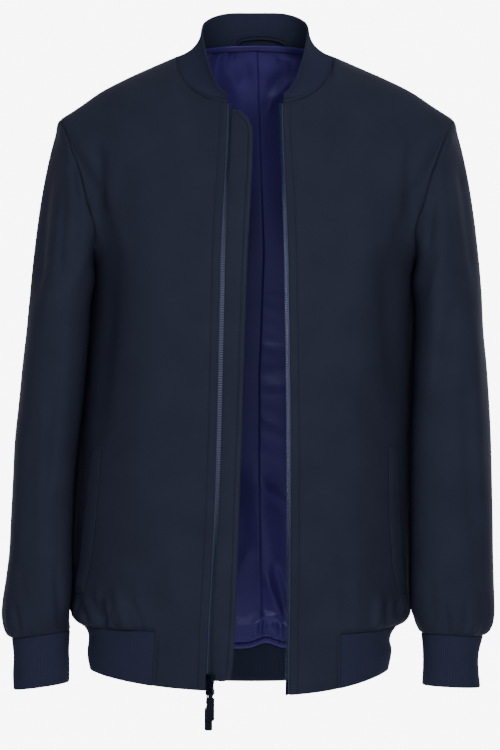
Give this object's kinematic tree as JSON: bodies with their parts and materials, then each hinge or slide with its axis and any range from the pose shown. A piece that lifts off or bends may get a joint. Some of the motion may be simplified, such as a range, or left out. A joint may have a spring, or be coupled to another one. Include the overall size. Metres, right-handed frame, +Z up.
{
  "type": "bomber jacket",
  "caption": "Hip-length bomber jacket in dark twill with rib-knit collar, cuffs and hem, satin lining, slanted side pockets and an open two-way zip, in its worn form.",
  "frame": {"origin": "middle of the neck's base, level with the points where the shoulder seams meet the collar, where the wearer's neck and shoulders hold the jacket", "axes": "+X towards the wearer's left, -Y towards the front, +Z up"},
  "size_m": [0.5892, 0.2524, 0.8558],
  "materials": {
    "twill": "smooth matt twill, very dark navy",
    "rib_knit": "rib knit, dark navy, slightly bluer",
    "satin_lining": "satin, dark purple navy with a soft sheen",
    "zip_tape": "woven tape and moulded teeth, slate blue",
    "zip_metal": "polished nickel plating",
    "pull_tab": "moulded soft plastic, dark navy"
  },
  "bodies": {
    "jacket": {"front_right": "twill", "front_left": "twill", "back": "twill", "sleeve_right": "twill", "sleeve_left": "twill", "underlap": "twill", "pocket_welt_right": "twill", "pocket_welt_left": "twill", "hanger_loop": "twill", "hem_rib": "rib_knit", "cuff_right": "rib_knit", "cuff_left": "rib_knit", "collar": "rib_knit", "lining_back_right": "satin_lining", "lining_back_left": "satin_lining", "lining_piping": "satin_lining", "lining_neck_band": "satin_lining", "zip_tape_right": "zip_tape", "zip_tape_left": "zip_tape", "slider_upper": "zip_metal", "slider_lower": "zip_metal"},
    "front_link": {"link_upper": "zip_metal"},
    "front_tab": {"tab_upper": "pull_tab"},
    "rear_link": {"link_lower": "zip_metal"},
    "rear_tab": {"tab_lower": "pull_tab"}
  },
  "joints": [
    {"name": "front_link_swing", "type": "hinge", "parent": "jacket", "child": "front_link", "pos_m": [-0.05283, -0.11626, -0.738], "axis": [0.9928, -0.1197, 0], "range_deg": [-120, 0]},
    {"name": "front_tab_swing", "type": "hinge", "parent": "front_link", "child": "front_tab", "pos_m": [-0.05223, -0.11634, -0.75509], "axis": [0.9928, -0.1197, 0], "range_deg": [-50, 0]},
    {"name": "rear_link_swing", "type": "hinge", "parent": "jacket", "child": "rear_link", "pos_m": [-0.0523, -0.10743, -0.7503], "axis": [0.9924, -0.123, 0], "range_deg": [0, 90]},
    {"name": "rear_tab_swing", "type": "hinge", "parent": "rear_link", "child": "rear_tab", "pos_m": [-0.05467, -0.10714, -0.76723], "axis": [0.9924, -0.123, 0], "range_deg": [0, 50]}
  ]
}
